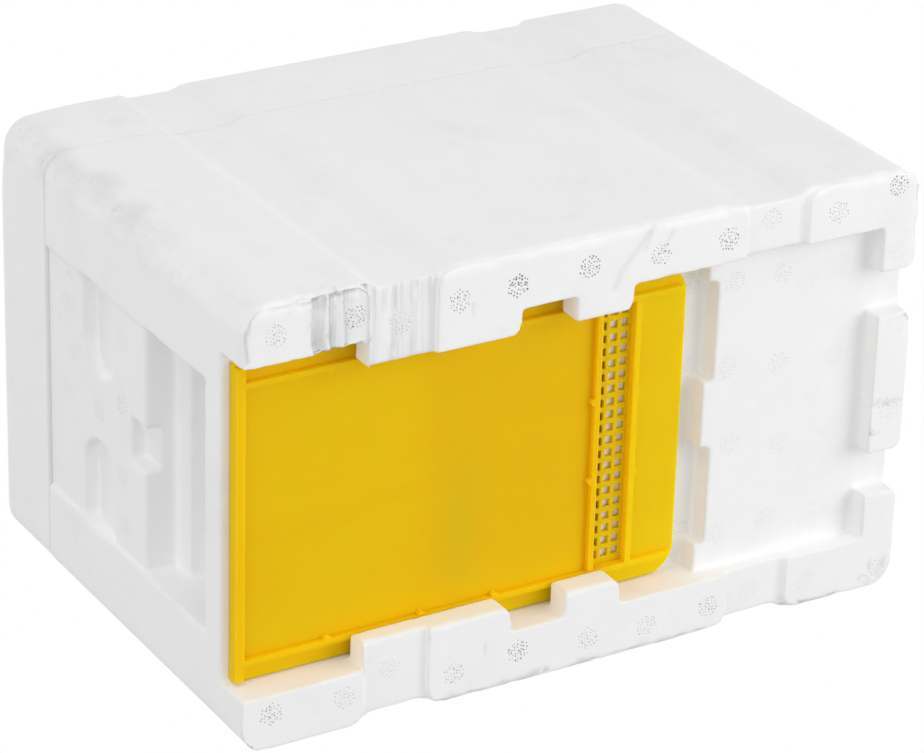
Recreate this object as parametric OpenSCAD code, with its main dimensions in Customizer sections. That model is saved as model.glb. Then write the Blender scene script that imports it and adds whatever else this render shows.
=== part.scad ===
// Foam mating nuc box for honey bees: a moulded body on two foot rails, a lift-off lid,
// a plastic floor slide under the body, and the frames, excluder, feeder and cover inside.
// Millimetres. The origin is at the middle of the foot plane, +Z is up, -Y is the entrance end.

/* [Box] */
// Length over the two ends
box_l = 261; // [230:1:320]
// Width over the two long sides
box_w = 161; // [150:1:200]
// Height of the body, from the foot plane to the lid seam
body_h = 145; // [130:1:180]
// Thickness of the foam walls
wall_t = 25.5; // [22:0.5:30]
// Thickness of the foam floor
floor_t = 11; // [8:0.5:16]
// Radius of the upright edges at the entrance end
front_edge_r = 6; // [3:0.5:12]
// Radius of the upright edges at the feeder end
back_edge_r = 7.5; // [3:0.5:14]
// Radius of the lower edges along the long sides
foot_edge_r = 1; // [1:0.5:6]
// Radius of the upright corners inside
cavity_r = 8; // [4:0.5:12]

/* [Underside] */
// Width of each foot rail
rail_w = 20.5; // [16:0.5:24]
// Depth of the channel that holds the floor slide, above the foot plane
channel_d = 15.5; // [13:0.5:20]
// Depth of the solid bottom behind the slide, above the foot plane
back_plate_d = 7.5; // [5:0.5:10]
// Length of the solid bottom behind the slide, to the tips of its teeth
back_plate_l = 80.5; // [70:0.5:90]
// Depth of the teeth along the front of the solid bottom
tooth_d = 4; // [2:0.5:6]
// Width of the middle tooth
tooth_w = 25; // [15:1:40]
// Reach of the outer teeth in from the rails
outer_tooth_w = 10; // [6:1:16]
// Length of the lugs across the feeder end
lug_l = 14; // [10:0.5:18]
// Width of the middle lug
mid_lug_w = 53; // [40:1:60]
// Width of the gaps beside the middle lug
lug_gap = 16.5; // [12:0.5:22]
// Radius of the lugs' outer corners at the gaps
lug_r = 2.5; // [1:0.5:6]
// Reach of the slide's retaining tabs in from the rails
tab_reach = 9.5; // [6:0.5:12]
// Length of the front pair of tabs
front_tab_l = 57; // [40:1:60]
// Distance of the front tabs from the entrance end
front_tab_from_front = 45.5; // [35:0.5:55]
// Length of the rear pair of tabs
rear_tab_l = 22.5; // [15:0.5:30]
// Distance of the rear tabs from the entrance end
rear_tab_from_front = 123.5; // [115:0.5:125]
// Radius of the tabs' rear corners
tab_r = 4; // [2:0.5:6]
// Length of the hole through the foam floor
floor_hole_l = 75; // [50:1:80]
// Width of the hole through the foam floor
floor_hole_w = 92; // [70:1:94]
// Distance of that hole from the entrance end
floor_hole_from_front = 70.5; // [60:0.5:75]

/* [Entrance] */
// Width of the entrance window and of the sunken panel above it
window_w = 92; // [60:1:100]
// Height of the entrance window
window_h = 44; // [36:1:50]
// Depth of the window's upper recess
window_d = 12.5; // [8:0.5:14]
// Height of the window's deeper lower recess
pocket_h = 34; // [20:1:35]
// Depth of the window's deeper lower recess
pocket_d = 20; // [15:0.5:21]
// Height of the passage through the wall, at the floor
passage_h = 9; // [7:0.5:12]
// Width of the thumb notch above the window
notch_w = 16; // [12:1:24]
// Height of the thumb notch
notch_h = 11; // [6:0.5:14]
// Depth of the thumb notch
notch_d = 6.5; // [4:0.5:7]
// Depth of the sunken panel
panel_d = 1; // [0.5:0.1:2]
// Height of the two finger scoops
scoop_h = 22.5; // [16:0.5:26]
// Reach of each scoop in from the panel's edge
scoop_l = 33.5; // [24:0.5:36]
// Depth of the scoops below the panel, at their upper edge
scoop_d = 5; // [3:0.5:6]
// Depth of the scoops below the panel, at their lower edge
scoop_low_d = 1.2; // [0.6:0.1:2.5]
// Height of the scoops' centre line above the foot plane
scoop_z = 106; // [100:1:112]

/* [Strap grooves] */
// Distance between the two strap grooves
groove_pitch = 144.5; // [130:0.5:150]
// Flat width at the bottom of a groove
groove_w = 14; // [10:0.5:20]
// Length of a groove's slope on the side of the box's middle
groove_inner_slope = 15; // [6:0.5:18]
// Length of a groove's slope on the side of the box's end
groove_outer_slope = 8; // [4:0.5:10]
// Depth of the grooves on the long sides
groove_d = 2.8; // [2:0.1:5]
// Depth of the grooves over the lid
lid_groove_d = 5; // [2:0.5:8]
// Depth of the grooves under the foot rails
foot_groove_d = 2.2; // [1:0.1:4]
// Width of the grooves under the foot rails
foot_groove_w = 24.5; // [16:0.5:30]
// Radius of the pads' outer corners beside those grooves
pad_r = 6; // [2:0.5:8]

/* [Lid] */
// Height of the lid above the seam
lid_h = 43; // [34:1:60]
// Radius of the lid's upper edges
lid_edge_r = 7; // [4:0.5:16]
// Radius of the lid's upright edges at the entrance end
lid_corner_r = 11; // [4:0.5:16]
// Gap between the inner cover and the lid's rim
lid_rim_gap = 1.8; // [1:0.1:3]
// Width of the lid's rim
lid_rim_w = 10; // [6:0.5:14]
// Depth of the hollow under the lid, above the seam
lid_hollow_d = 17; // [8:1:20]
// Play between the lid's rim and the body
lid_play = 0.6; // [0.3:0.1:1.5]

/* [Floor slide] */
// Thickness of the slide's plate
slide_t = 2.5; // [1.5:0.1:3]
// Play at each long side of the slide
slide_side_play = 2; // [1:0.1:3]
// Share of the side play by which the slide lies off the middle, towards -X
slide_lean_share = 0.8; // [0:0.05:0.9]
// Play above and below the slide
slide_play = 0.3; // [0.2:0.1:0.6]
// Setback of the slide's lip from the entrance end
slide_setback = 3.2; // [2:0.1:8]
// Thickness of the lip at the slide's entrance end
lip_t = 3.1; // [1.5:0.1:5]
// Gap between the closed slide and the teeth behind it
slide_end_gap = 5.5; // [2:0.5:8]
// Radius of the slide's rear corners
slide_rear_r = 10; // [4:0.5:14]
// Height of the ribs below the plate
slide_rib_h = 2.4; // [1:0.1:3.5]
// Thickness of the ribs
slide_rib_t = 2; // [1.2:0.1:3]
// Side of each square vent hole
vent_hole = 3; // [2:0.1:3.4]
// Distance between vent holes across the slide
vent_pitch_x = 4.8; // [4:0.1:5]
// Distance between vent holes along the slide
vent_pitch_y = 4.3; // [4:0.1:5]
// Vent holes across the slide
vent_columns = 20; // [8:1:20]
// Vent holes along the slide
vent_rows = 3; // [1:1:5]
// Distance of the vent grid's middle from the slide's rear edge
vent_from_rear = 27.5; // [24:0.5:32]

/* [Frames] */
// Distance from frame to frame
frame_pitch = 34; // [30:0.5:35]
// Depth of the ledges that carry the frames, below the lid seam
ledge_d = 14; // [12:0.5:18]
// Width of each ledge
ledge_w = 6; // [4:0.5:8]
// Thickness of a frame's top bar
top_bar_t = 5; // [4:0.5:6]
// Width of a frame's bars
frame_bar_w = 22; // [18:0.5:25]
// Thickness of a frame's side bars
side_bar_t = 3; // [2:0.5:5]
// Thickness of a frame's bottom bar
bottom_bar_t = 4; // [3:0.5:6]
// Width of a frame's bottom bar
bottom_bar_w = 10; // [6:0.5:16]
// Bee space kept beside and under the frames
bee_space = 7; // [6:0.5:9]

/* [Feeder, excluder and cover] */
// Thickness of the feeder's walls
feeder_t = 1.8; // [1.2:0.1:3]
// Gap between the feeder's rim and the level of the frame ledges
feeder_top_gap = 3.5; // [1:0.5:20]
// Width of the doorway in the feeder's front wall
feeder_door_w = 70; // [30:1:90]
// Depth of that doorway
feeder_door_h = 12; // [8:1:20]
// Width of the climbing shaft behind the feeder's front wall
feeder_shaft_w = 14; // [9:0.5:18]
// Thickness of the queen excluder
excluder_t = 2.2; // [1.5:0.1:3]
// Depth of the wall grooves that hold the excluder
excluder_groove_d = 3; // [2:0.5:5]
// Width of the excluder's slots
slot_w = 4.2; // [4.1:0.05:4.4]
// Height of the excluder's slots
slot_h = 30; // [15:1:40]
// Distance from slot to slot
slot_pitch = 7.5; // [6.5:0.5:12]
// Thickness of the clear inner cover
cover_t = 1.2; // [0.8:0.1:2]
// Play around the pieces that drop into the body
drop_play = 0.6; // [0.3:0.1:1]

/* [Hidden] */
$fn = 64;
// How far a cut runs past the face that it opens
overrun = 1;
foam_colour = "#ECECE9";
lid_colour = "#EFEFEC";
slide_colour = "#E8B90F";
frame_colour = "#E3B421";
cover_colour = "#DCE6EA";

// Levels and inner sizes that the pieces share
floor_z = channel_d + floor_t;
inner_w = box_w - 2 * wall_t;
inner_l = box_l - 2 * wall_t;
front_y = -box_l / 2;
inner_front_y = -inner_l / 2;
channel_w = box_w - 2 * rail_w;
ledge_z = body_h - ledge_d;
shelf_w = inner_w + 2 * ledge_w;
teeth_y = box_l / 2 - back_plate_l;
lug_y = box_l / 2 - lug_l;
// Steps that a smooth slope is drawn in, and how far it has fallen at a share of its run
slope_steps = 8;
function slope_fall(share) = (1 - cos(180 * share)) / 2;

// The slide fills the channel between the bridge under the entrance and the teeth
slide_w = channel_w - 2 * slide_side_play;
slide_z = channel_d - slide_play - slide_t;
slide_front_y = front_y + slide_setback;
slide_rear_y = teeth_y - slide_end_gap;
slide_l = slide_rear_y - slide_front_y;
slide_front_r = slide_rib_t / 2;
// The slide's side ribs run on the tabs
tab_h = slide_z - slide_rib_h - slide_play;
slide_rib_x = channel_w / 2 - tab_reach + slide_rib_t / 2;
vent_y = slide_rear_y - vent_from_rear;
vent_field_l = vent_rows * vent_pitch_y;
// Small round pips on the ribs, as shares of the rib that carries them
nub_r = 1.3;
side_nub_shares = [0.20, 0.41, 0.575];
cross_nub_share = 0.29;
gate_r = 2;
gate_h = 0.5;

// Frames stand from the entrance wall back, then the excluder, then the feeder
frame_count = 4;
frame_play = 0.3;
frame_end_play = 4;
brood_l = frame_count * frame_pitch + 2 * frame_end_play;
excluder_y = inner_front_y + brood_l;
frame_reach = shelf_w - 2 * drop_play;
frame_side_x = inner_w / 2 - bee_space;
frame_top_z = ledge_z + top_bar_t;
frame_low_z = floor_z + bee_space;
shoulder_l = 11;
comb_guide_w = side_bar_t;
comb_guide_h = top_bar_t;

feeder_front_y = excluder_y + excluder_t + drop_play;
feeder_h = ledge_z - floor_z - feeder_top_gap;
feeder_w = inner_w - 2 * drop_play;
feeder_l = inner_l / 2 - drop_play - feeder_front_y;
feeder_r = cavity_r - drop_play;
shaft_wall_drop = 2 * feeder_door_h;
rung_t = feeder_t / 2;
rung_pitch = bee_space;
excluder_w = inner_w + 2 * excluder_groove_d - 2 * drop_play;
excluder_h = ledge_z - floor_z - drop_play;
slot_top_margin = slot_pitch;
slot_count = floor((inner_w - slot_pitch) / slot_pitch);
lid_rim_h = ledge_d - top_bar_t - cover_t - lid_rim_gap;
lid_rim_top_w = shelf_w - 2 * lid_play;
lid_rim_top_l = inner_l - 2 * lid_play;
rim_r = cavity_r - lid_play;
rim_inner_r = cavity_r / 2;

// What a corner at the origin loses when it is rounded, with the piece on the +X +Y side
module corner_waste(r) {
    difference() {
        translate([-overrun, -overrun])
            square(r + overrun);
        translate([r, r])
            circle(r);
    }
}

// Centred rectangle with one radius at its -Y corners and another at its +Y corners
module rounded_rect(w, l, r_front, r_back) {
    difference() {
        square([w, l], center = true);
        for (flip_x = [0, 1], flip_y = [0, 1])
            mirror([flip_x, 0])
                mirror([0, flip_y])
                    translate([-w / 2, -l / 2])
                        corner_waste(flip_y == 0 ? r_front : r_back);
    }
}

// Upright section of width w and height h, standing on the origin, with its two lower corners rounded
module low_round_section(w, h, r) {
    difference() {
        translate([-w / 2, 0])
            square([w, h]);
        for (flip = [0, 1])
            mirror([flip, 0])
                translate([-w / 2, 0])
                    corner_waste(r);
    }
}

// Carries an XZ section along the whole box, or a YZ section across it
module along_box() {
    rotate([90, 0, 0])
        linear_extrude(box_l + 2 * overrun, center = true)
            children();
}

module across_box() {
    rotate([90, 0, 90])
        linear_extrude(box_w + 2 * overrun, center = true)
            children();
}

// Section of a strap groove of depth d in a face that lies on the X axis and looks to +Y.
// Its two slopes are smooth, and +X is the side of the box's end.
module groove_section(d) {
    half_w = groove_w / 2;
    inner_x = -half_w - groove_inner_slope;
    outer_x = half_w + groove_outer_slope;
    shares = [for (step = [0 : slope_steps]) step / slope_steps];
    polygon(concat(
        [[inner_x, overrun]],
        [for (share = shares) [inner_x + share * groove_inner_slope, -d * slope_fall(share)]],
        [for (share = shares) [half_w + share * groove_outer_slope, -d * slope_fall(1 - share)]],
        [[outer_x, overrun]]
    ));
}

// Both strap grooves down both long sides, between two heights
module side_grooves(z_low, z_high) {
    for (flip_x = [0, 1], flip_y = [0, 1])
        mirror([flip_x, 0, 0])
            mirror([0, flip_y, 0])
                translate([box_w / 2, -groove_pitch / 2, z_low])
                    rotate([0, 0, -90])
                        linear_extrude(z_high - z_low)
                            groove_section(groove_d);
}

// Outer form of the body: upright edges and long lower edges rounded
module body_block() {
    intersection() {
        linear_extrude(body_h)
            rounded_rect(box_w, box_l, front_edge_r, back_edge_r);
        along_box()
            low_round_section(box_w, body_h, foot_edge_r);
    }
}

// Plan of the slide's channel, from the entrance end to the toothed edge of the solid bottom
module channel_plan() {
    tooth_x = tooth_w / 2;
    outer_x = channel_w / 2 - outer_tooth_w;
    difference() {
        translate([-channel_w / 2, front_y - overrun])
            square([channel_w, teeth_y + tooth_d - front_y + overrun]);
        translate([-tooth_x, teeth_y])
            square([2 * tooth_x, tooth_d + overrun]);
        for (flip = [0, 1])
            mirror([flip, 0])
                translate([outer_x, teeth_y])
                    square([outer_tooth_w + overrun, tooth_d + overrun]);
    }
}

// Plan of what is open below the solid bottom: the field between the rails and the gaps between the lugs
module back_plate_plan() {
    gap_x = mid_lug_w / 2;
    translate([-channel_w / 2, teeth_y - overrun])
        square([channel_w, lug_y - teeth_y + overrun]);
    for (flip = [0, 1])
        mirror([flip, 0]) {
            translate([gap_x, lug_y - overrun])
                square([lug_gap, lug_l + 2 * overrun]);
            translate([gap_x, box_l / 2])
                rotate(180)
                    corner_waste(lug_r);
            translate([gap_x + lug_gap, box_l / 2])
                rotate(-90)
                    corner_waste(lug_r);
        }
}

module underside_cut() {
    translate([0, 0, -overrun])
        linear_extrude(channel_d + overrun)
            channel_plan();
    translate([0, 0, -overrun])
        linear_extrude(back_plate_d + overrun)
            back_plate_plan();
}

// One pair of tabs that keep the slide up against the floor
module tab_pair(from_front, l) {
    for (flip = [0, 1])
        mirror([flip, 0, 0])
            linear_extrude(tab_h)
                translate([channel_w / 2 - tab_reach, front_y + from_front])
                    difference() {
                        square([tab_reach + overrun, l]);
                        translate([0, l])
                            mirror([0, 1])
                                corner_waste(tab_r);
                    }
}

// Room for the frames: the cavity, the ledges above it and the grooves that hold the excluder
module cavity() {
    translate([0, 0, floor_z])
        linear_extrude(body_h - floor_z + overrun)
            rounded_rect(inner_w, inner_l, cavity_r, cavity_r);
    translate([0, 0, ledge_z])
        linear_extrude(ledge_d + overrun)
            rounded_rect(shelf_w, inner_l, cavity_r, cavity_r);
    excluder_slot_w = inner_w + 2 * excluder_groove_d;
    translate([-excluder_slot_w / 2, excluder_y - drop_play / 2, floor_z])
        cube([excluder_slot_w, excluder_t + drop_play, body_h - floor_z + overrun]);
    translate([-floor_hole_w / 2, front_y + floor_hole_from_front, channel_d - overrun])
        cube([floor_hole_w, floor_hole_l, floor_t + 2 * overrun]);
}

// Outline of one finger scoop on the XZ plane: open at the panel's edge, round at its inner end
module scoop_outline() {
    r = scoop_h / 2;
    round_x = window_w / 2 - scoop_l + r;
    translate([round_x, scoop_z])
        circle(r);
    translate([round_x, scoop_z - r])
        square([window_w / 2 - round_x, scoop_h]);
}

// Cuts an XZ outline into the entrance end to a depth
module cut_front(d) {
    translate([0, front_y + d, 0])
        rotate([90, 0, 0])
            linear_extrude(d + overrun)
                children();
}

module entrance_cut() {
    window_top = floor_z + window_h;
    cut_front(window_d)
        translate([-window_w / 2, floor_z])
            square([window_w, window_h]);
    cut_front(pocket_d)
        translate([-window_w / 2, floor_z])
            square([window_w, pocket_h]);
    cut_front(wall_t + overrun)
        translate([-window_w / 2, floor_z])
            square([window_w, passage_h]);
    cut_front(notch_d)
        translate([-notch_w / 2, window_top - overrun])
            square([notch_w, notch_h + overrun]);
    cut_front(panel_d)
        translate([-window_w / 2, window_top - overrun])
            square([window_w, body_h - window_top + 2 * overrun]);
    for (flip = [0, 1])
        mirror([flip, 0, 0])
            scoop_cut();
}

// One finger scoop: its bottom slopes from its deep upper edge to its shallow lower edge
module scoop_cut() {
    low_z = scoop_z - scoop_h / 2;
    high_z = scoop_z + scoop_h / 2;
    panel_y = front_y + panel_d;
    intersection() {
        cut_front(panel_d + scoop_d + overrun)
            scoop_outline();
        across_box()
            polygon([
                [front_y - overrun, low_z], [panel_y + scoop_low_d, low_z],
                [panel_y + scoop_d, high_z], [front_y - overrun, high_z]
            ]);
    }
}

// Plan of one groove under the foot rails, with the pads' outer corners beside it rounded
module foot_groove_plan() {
    square([box_w + 2 * overrun, foot_groove_w], center = true);
    for (flip_x = [0, 1], flip_y = [0, 1])
        mirror([flip_x, 0])
            mirror([0, flip_y])
                translate([box_w / 2, foot_groove_w / 2])
                    rotate(90)
                        corner_waste(pad_r);
}

module foot_grooves() {
    for (end = [-1, 1])
        translate([0, end * groove_pitch / 2, -overrun])
            linear_extrude(foot_groove_d + overrun)
                foot_groove_plan();
}

module body() {
    color(foam_colour)
        difference() {
            union() {
                difference() {
                    body_block();
                    underside_cut();
                }
                tab_pair(front_tab_from_front, front_tab_l);
                tab_pair(rear_tab_from_front, rear_tab_l);
            }
            cavity();
            entrance_cut();
            side_grooves(-overrun, body_h + overrun);
            foot_grooves();
        }
}

// Outer form of the lid: all upper edges rounded
module lid_block() {
    translate([0, 0, body_h])
        intersection() {
            linear_extrude(lid_h)
                rounded_rect(box_w, box_l, lid_corner_r, back_edge_r);
            translate([0, 0, lid_h])
                mirror([0, 0, 1])
                    along_box()
                        low_round_section(box_w, lid_h, lid_edge_r);
            translate([0, 0, lid_h])
                mirror([0, 0, 1])
                    across_box()
                        low_round_section(box_l, lid_h, lid_edge_r);
        }
}

module lid_rim() {
    translate([0, 0, body_h - lid_rim_h])
        linear_extrude(lid_rim_h + overrun)
            rounded_rect(lid_rim_top_w, lid_rim_top_l, rim_r, rim_r);
}

module lid_hollow() {
    hollow_w = lid_rim_top_w - 2 * lid_rim_w;
    hollow_l = lid_rim_top_l - 2 * lid_rim_w;
    translate([0, 0, body_h - lid_rim_h - overrun])
        linear_extrude(lid_rim_h + lid_hollow_d + overrun)
            rounded_rect(hollow_w, hollow_l, rim_inner_r, rim_inner_r);
}

module lid() {
    color(lid_colour)
        difference() {
            union() {
                lid_block();
                lid_rim();
            }
            lid_hollow();
            side_grooves(body_h - overrun, body_h + lid_h + overrun);
            for (flip = [0, 1])
                mirror([0, flip, 0])
                    translate([0, groove_pitch / 2, body_h + lid_h])
                        across_box()
                            groove_section(lid_groove_d);
        }
}

// Vent holes through the slide, as a grid centred between its long edges
module vent_grid() {
    for (column = [0 : vent_columns - 1], row = [0 : vent_rows - 1])
        translate([
            (column - (vent_columns - 1) / 2) * vent_pitch_x,
            vent_y + (row - (vent_rows - 1) / 2) * vent_pitch_y
        ])
            square(vent_hole, center = true);
}

// Ribs, lip and pips below the slide's plate, seen in plan
module slide_rib_plan() {
    front_rib_y = vent_y - vent_field_l / 2 - slide_rib_t;
    rear_rib_y = vent_y + vent_field_l / 2;
    translate([-slide_w / 2 + slide_front_r, slide_front_y])
        square([slide_w - 2 * slide_front_r, lip_t]);
    for (flip = [0, 1])
        mirror([flip, 0]) {
            translate([slide_rib_x - slide_rib_t, slide_front_y])
                square([slide_rib_t, slide_l - slide_rear_r / 4]);
            for (share = side_nub_shares)
                translate([slide_rib_x - slide_rib_t, slide_front_y + share * slide_l])
                    circle(nub_r);
            for (rib_edge_y = [front_rib_y, rear_rib_y + slide_rib_t])
                translate([cross_nub_share * slide_rib_x, rib_edge_y])
                    circle(nub_r);
        }
    for (rib_y = [front_rib_y, rear_rib_y])
        translate([-slide_rib_x, rib_y])
            square([2 * slide_rib_x, slide_rib_t]);
}

module floor_slide() {
    color(slide_colour) translate([-slide_lean_share * slide_side_play, 0, 0]) {
        translate([0, 0, slide_z])
            linear_extrude(slide_t)
                difference() {
                    translate([0, slide_front_y + slide_l / 2])
                        rounded_rect(slide_w, slide_l, slide_front_r, slide_rear_r);
                    vent_grid();
                }
        translate([0, 0, slide_z - slide_rib_h])
            linear_extrude(slide_rib_h + slide_t / 2)
                difference() {
                    slide_rib_plan();
                    vent_grid();
                }
        translate([0, slide_front_y + slide_l / 2, slide_z - gate_h])
            cylinder(h = gate_h + slide_t / 2, r = gate_r);
    }
}

// Half of a frame's upright outline on the XZ plane, below its top bar
module frame_window_side() {
    translate([frame_side_x - side_bar_t, frame_low_z])
        square([side_bar_t, ledge_z - frame_low_z + top_bar_t / 2]);
}

// One frame: top bar with spacing shoulders and a comb guide, two side bars and a bottom bar
module mini_frame(place) {
    frame_y = inner_front_y + frame_end_play + (place - 1 / 2) * frame_pitch;
    shoulder_w = frame_pitch - frame_play;
    color(frame_colour)
        translate([0, frame_y, 0]) {
            translate([-frame_reach / 2, -frame_bar_w / 2, ledge_z])
                cube([frame_reach, frame_bar_w, top_bar_t]);
            for (flip = [0, 1])
                mirror([flip, 0, 0]) {
                    translate([frame_side_x - shoulder_l, -shoulder_w / 2, ledge_z])
                        cube([shoulder_l, shoulder_w, top_bar_t]);
                    rotate([90, 0, 0])
                        linear_extrude(frame_bar_w, center = true)
                            frame_window_side();
                }
            translate([-frame_side_x, -bottom_bar_w / 2, frame_low_z])
                cube([2 * frame_side_x, bottom_bar_w, bottom_bar_t]);
            translate([0, 0, ledge_z])
                rotate([90, 0, 90])
                    linear_extrude(2 * frame_side_x - side_bar_t, center = true)
                        polygon([
                            [-comb_guide_w, top_bar_t / 2], [-comb_guide_w, 0],
                            [0, -comb_guide_h],
                            [comb_guide_w, 0], [comb_guide_w, top_bar_t / 2]
                        ]);
        }
}

// Feeder tray with a doorway for the bees, a shaft with rungs behind it and an open trough
module feeder() {
    shaft_y = feeder_front_y + feeder_t + feeder_shaft_w;
    trough_w = feeder_w - 2 * feeder_t;
    rung_count = floor((feeder_h - feeder_door_h - 2 * rung_pitch) / rung_pitch);
    color(frame_colour) {
        difference() {
            translate([0, feeder_front_y + feeder_l / 2, floor_z])
                linear_extrude(feeder_h)
                    rounded_rect(feeder_w, feeder_l, feeder_t, feeder_r);
            translate([0, feeder_front_y + feeder_l / 2, floor_z + feeder_t])
                linear_extrude(feeder_h)
                    rounded_rect(trough_w, feeder_l - 2 * feeder_t, feeder_t / 2, feeder_r - feeder_t);
            translate([-feeder_door_w / 2, feeder_front_y - overrun, floor_z + feeder_h - feeder_door_h])
                cube([feeder_door_w, feeder_t + 2 * overrun, feeder_door_h + overrun]);
        }
        translate([-trough_w / 2 - feeder_t / 2, shaft_y, floor_z + feeder_t / 2])
            cube([trough_w + feeder_t, feeder_t, feeder_h - shaft_wall_drop]);
        for (rung = [1 : rung_count])
            translate([-feeder_door_w / 2, shaft_y - rung_t, floor_z + rung * rung_pitch])
                cube([feeder_door_w, rung_t + feeder_t / 2, rung_t]);
    }
}

// Queen excluder: a plate with upright slots that only workers pass
module queen_excluder() {
    color(frame_colour)
        difference() {
            translate([-excluder_w / 2, excluder_y, floor_z])
                cube([excluder_w, excluder_t, excluder_h]);
            for (slot = [0 : slot_count - 1])
                translate([
                    (slot - (slot_count - 1) / 2) * slot_pitch - slot_w / 2,
                    excluder_y - overrun,
                    floor_z + excluder_h - slot_top_margin - slot_h
                ])
                    cube([slot_w, excluder_t + 2 * overrun, slot_h]);
        }
}

// Clear sheet that lies on the frames' top bars
module inner_cover() {
    color(cover_colour)
        translate([0, 0, frame_top_z])
            linear_extrude(cover_t)
                rounded_rect(shelf_w - 2 * drop_play, inner_l - 2 * drop_play, cavity_r, cavity_r);
}

body();
lid();
floor_slide();
feeder();
queen_excluder();
inner_cover();
mini_frame(1);  // frame_1
mini_frame(2);  // frame_2
mini_frame(3);  // frame_3
mini_frame(4);  // frame_4
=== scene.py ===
"""Looks of a foam mating nuc box: moulded bead foam with vent marks and wear, and yellow plastic inserts.

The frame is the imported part's own, in metres: origin on the foot plane, +Z up, -Y the entrance end.
"""

import bmesh
import bpy
import numpy as np
from mathutils import Matrix, Vector
from mathutils.bvhtree import BVHTree


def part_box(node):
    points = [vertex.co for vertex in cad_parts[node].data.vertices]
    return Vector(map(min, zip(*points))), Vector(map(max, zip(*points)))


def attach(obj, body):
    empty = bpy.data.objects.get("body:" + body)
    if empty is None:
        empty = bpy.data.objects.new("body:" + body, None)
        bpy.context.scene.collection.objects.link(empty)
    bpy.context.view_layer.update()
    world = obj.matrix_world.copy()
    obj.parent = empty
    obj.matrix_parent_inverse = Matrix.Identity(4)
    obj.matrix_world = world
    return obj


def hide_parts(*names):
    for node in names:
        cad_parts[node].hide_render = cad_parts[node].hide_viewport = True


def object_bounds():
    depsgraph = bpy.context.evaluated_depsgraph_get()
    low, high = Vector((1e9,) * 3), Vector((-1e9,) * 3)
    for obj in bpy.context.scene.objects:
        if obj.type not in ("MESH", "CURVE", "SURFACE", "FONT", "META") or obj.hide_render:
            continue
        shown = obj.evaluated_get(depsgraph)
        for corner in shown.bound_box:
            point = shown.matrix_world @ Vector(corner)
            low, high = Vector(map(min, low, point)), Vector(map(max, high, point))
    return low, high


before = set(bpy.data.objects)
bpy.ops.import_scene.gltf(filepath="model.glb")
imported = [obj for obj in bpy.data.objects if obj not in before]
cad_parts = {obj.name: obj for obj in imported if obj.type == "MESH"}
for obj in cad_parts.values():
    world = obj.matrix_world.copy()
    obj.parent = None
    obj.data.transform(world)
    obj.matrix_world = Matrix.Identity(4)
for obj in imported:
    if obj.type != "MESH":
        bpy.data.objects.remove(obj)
cad_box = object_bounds()

# Lengths times MM are metres, and so are the floor's and the lamps'. Tables of places on the object, and the
# lengths read with them, are millimetres.
MM = 0.001

# Sizes read from the frame
body_low, body_high = (np.array(corner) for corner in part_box("body"))
lid_low, lid_high = (np.array(corner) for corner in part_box("lid"))
slide_low, slide_high = (np.array(corner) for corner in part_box("floor_slide"))
SEAM_Z = body_high[2]
FRONT_Y = body_low[1]

# Foam: fineness of the surface, softness of its edges, and its uneven skin as cell and depth of two waves
FOAM_VOXEL = 0.8 * MM
FOAM_TRIANGLES = 190000
SOFT_ROUNDS = 2
CORNER_ROUND = 10.5 * MM
SEAM_HOLD = 2.5 * MM
SEAM_FREEDOM = 0.1
SKIN_SEED = 3
SKIN_WAVE = (14 * MM, 0.07 * MM)
SKIN_RIPPLE = (4 * MM, 0.03 * MM)

# Wear of its edges: how far they are drawn in where it is full, and the moves over which it fades out
WEAR_FULL = 0.3 * MM
WEAR_FADE = (0.9 * MM, 0.2 * MM)
DENT_DEPTH = 1.1 * MM
CHIP_DEPTH = 0.9 * MM
CHIP_AREAS = (-0.3, 0.5)

# Random fields that break up wear and marks: middle, swing, cell and seed
CUT_FIELD = (0.85, 0.35, 9 * MM, 5)
CUT_WANDER = (0, 0.7 * MM, 7 * MM, 8)
DENT_FIELD = (-0.2, 1, 8 * MM, 11)
BITE_FIELD = (0.8, 0.5, 4 * MM, 17)
BEAD_FIELD = (0, 1, 2.6 * MM, 19)
CHIP_FIELD = (0, 1, 35 * MM, 29)
SCUFF_WANDER = (0, 4 * MM, 9 * MM, 31)
RUB_FIELD = (0, 1, 12 * MM, 37)
CRACK_FIELD = (0.7, 0.8, 4 * MM, 41)
CRUSH_FIELD = (0.85, 0.3, 9 * MM, 43)
CRACK_WANDER = (0, 0.7 * MM, 6 * MM, 47)
EDGE_FIELD = (0.5, 0.5, 5 * MM, 53)

# Ramps that pick the faces turned one way, by that share of their normal
DOWN_FACE = (0.2, 0.7)
AHEAD_FACE = (0.3, 0.8)
SCOOP_FACE = (0.3, 0.7)
INWARD_FACE = (0.1, 0.6)
EDGE_FACE = (0.1, 0.4)
SIDE_FACE = (0.8, 0.9)
SLOPE_FACE = (0.12, 0.3)

# Knife cuts across the right foot rail: place along Y and depth, with a steep side to each cut
KNIFE_CUTS = [
    (-108.0, 0.0), (-105.6, 0.1), (-105.2, 1.9), (-101.2, 0.5), (-99.4, 0.3), (-99.0, 1.9), (-95.0, 0.7),
    (-94.2, 0.6), (-93.7, 2.2), (-89.0, 1.2), (-85.5, 1.6), (-84.7, 0.1), (-84.2, 0.6), (-82.0, 0.1),
    (-77.0, 0.0), (-75.9, 0.1), (-75.4, 0.7), (-73.6, 0.1), (-73.0, 0.1), (-72.6, 0.5), (-71.0, 0.1),
    (-69.1, 0.0), (-68.6, 0.6), (-66.5, 0.1), (-65.7, 0.5), (-64.0, 0.1), (-63.2, 0.4), (-62.0, 0.0),
]
# How far to either side the cuts' profile is read for its steepness, and where the rail begins
CUT_STEP = 0.5
KNIFE_X = (49 * MM, 51 * MM)
# Painted shade on the cuts' steep sides
KNIFE_SHADE = 0.5
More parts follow.
